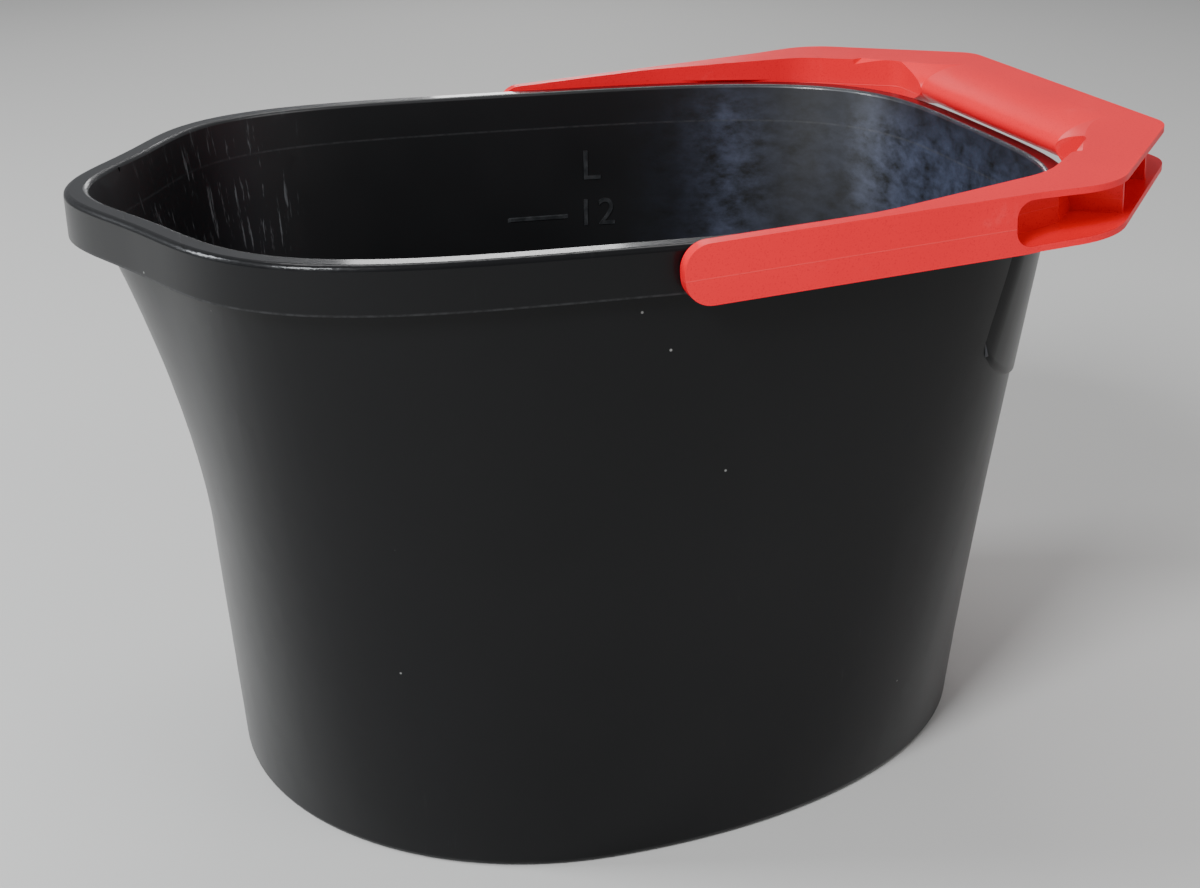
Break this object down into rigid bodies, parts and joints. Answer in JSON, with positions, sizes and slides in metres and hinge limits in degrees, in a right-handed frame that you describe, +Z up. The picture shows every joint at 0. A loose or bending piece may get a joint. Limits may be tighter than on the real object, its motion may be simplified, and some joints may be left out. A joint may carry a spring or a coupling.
{
  "type": "oval household bucket",
  "caption": "Oval plastic household bucket with a pouring spout, a skirted rim, a graduation mark inside and a swinging moulded bail handle.",
  "frame": {"origin": "on the floor, under the middle of the handle's pivot line, which is the middle of the overall length with the handle laid down", "axes": "+X away from the spout, towards the end the handle rests on; +Y across the bucket along the pivot line; +Z up"},
  "size_m": [0.4076, 0.2844, 0.2578],
  "materials": {
    "black_polypropylene": "glossy moulded black polypropylene with fine scratches",
    "red_polypropylene": "satin moulded red polypropylene"
  },
  "bodies": {
    "bucket": {"bucket_body": "black_polypropylene"},
    "bail": {"handle": "red_polypropylene"}
  },
  "joints": [
    {"name": "handle_swing", "type": "hinge", "parent": "bucket", "child": "bail", "pos_m": [0, 0, 0.233], "axis": [0, -1, 0], "range_deg": [0, 158]}
  ]
}
